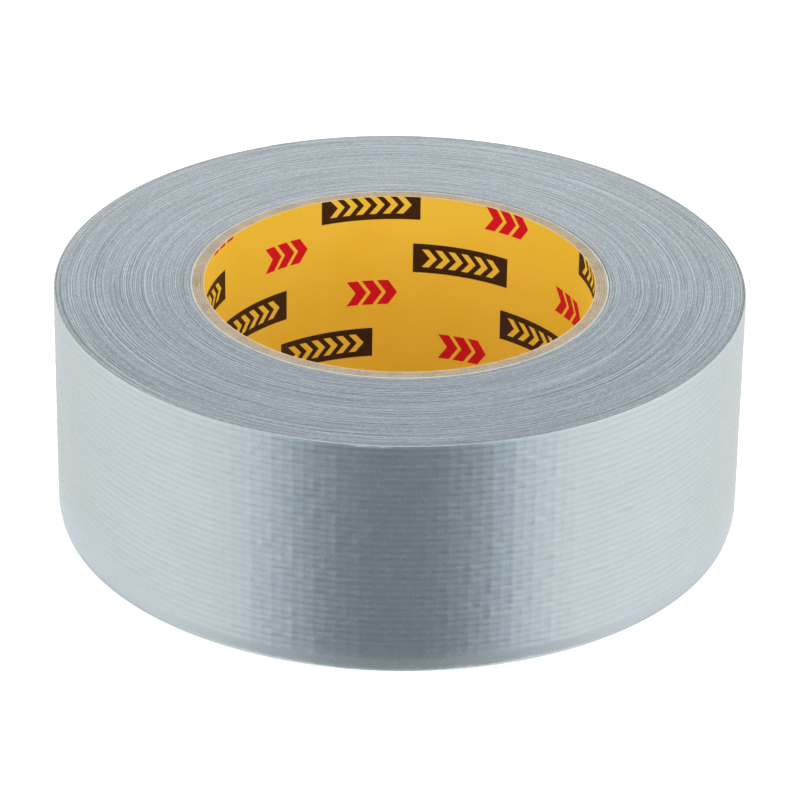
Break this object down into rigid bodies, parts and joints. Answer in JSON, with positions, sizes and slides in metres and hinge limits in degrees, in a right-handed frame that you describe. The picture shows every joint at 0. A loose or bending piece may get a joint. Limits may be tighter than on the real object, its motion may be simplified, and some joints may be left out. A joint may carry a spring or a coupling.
{
  "type": "duct tape roll",
  "caption": "Roll of cloth-backed adhesive tape on a spirally wound paperboard core with a printed liner and a free end that peels off.",
  "frame": {"origin": "centre of the roll's bottom face, on the core's axis", "axes": "+Z along the core's axis, up through the bore; the tape's free end lies on the +Y side"},
  "size_m": [0.1346, 0.1347, 0.048],
  "materials": {
    "printed_liner": "satin printed paper",
    "paperboard": "raw cut edge",
    "pale_paper": "matte",
    "tape_edges": "slit edges of wound tape",
    "film": "satin silver-grey polyethylene film over a scrim",
    "cloth": "open scrim",
    "adhesive": "tacky rubber adhesive"
  },
  "bodies": {
    "roll": {"core_liner": "printed_liner", "core_ply_1": "paperboard", "core_ply_2": "paperboard", "core_ply_3": "paperboard", "core_ply_4": "paperboard", "core_outer_paper": "pale_paper", "tape_winding": "tape_edges", "last_turn_film": "film", "last_turn_cloth": "cloth", "last_turn_adhesive": "adhesive"},
    "tail_1": {"tail_1_film": "film", "tail_1_cloth": "cloth", "tail_1_adhesive": "adhesive"},
    "tail_2": {"tail_2_film": "film", "tail_2_cloth": "cloth", "tail_2_adhesive": "adhesive"},
    "tail_3": {"tail_3_film": "film", "tail_3_cloth": "cloth", "tail_3_adhesive": "adhesive"},
    "tail_4": {"tail_4_film": "film", "tail_4_cloth": "cloth", "tail_4_adhesive": "adhesive"}
  },
  "joints": [
    {"name": "tail_peel", "type": "hinge", "parent": "roll", "child": "tail_1", "pos_m": [0.0274, 0.06155, 0.024], "axis": [0, 0, -1], "range_deg": [0, 60]},
    {"name": "tail_bend_2", "type": "hinge", "parent": "tail_1", "child": "tail_2", "pos_m": [0.01401, 0.06591, 0.024], "axis": [0, 0, -1], "range_deg": [0, 24]},
    {"name": "tail_bend_3", "type": "hinge", "parent": "tail_2", "child": "tail_3", "pos_m": [0, 0.06739, 0.024], "axis": [0, 0, -1], "range_deg": [0, 24]},
    {"name": "tail_bend_4", "type": "hinge", "parent": "tail_3", "child": "tail_4", "pos_m": [-0.01401, 0.06592, 0.024], "axis": [0, 0, -1], "range_deg": [0, 24]}
  ],
  "couplings": [
    {"joint": "tail_bend_2", "follows": "tail_peel", "ratio": 0.4},
    {"joint": "tail_bend_3", "follows": "tail_peel", "ratio": 0.4},
    {"joint": "tail_bend_4", "follows": "tail_peel", "ratio": 0.4}
  ]
}
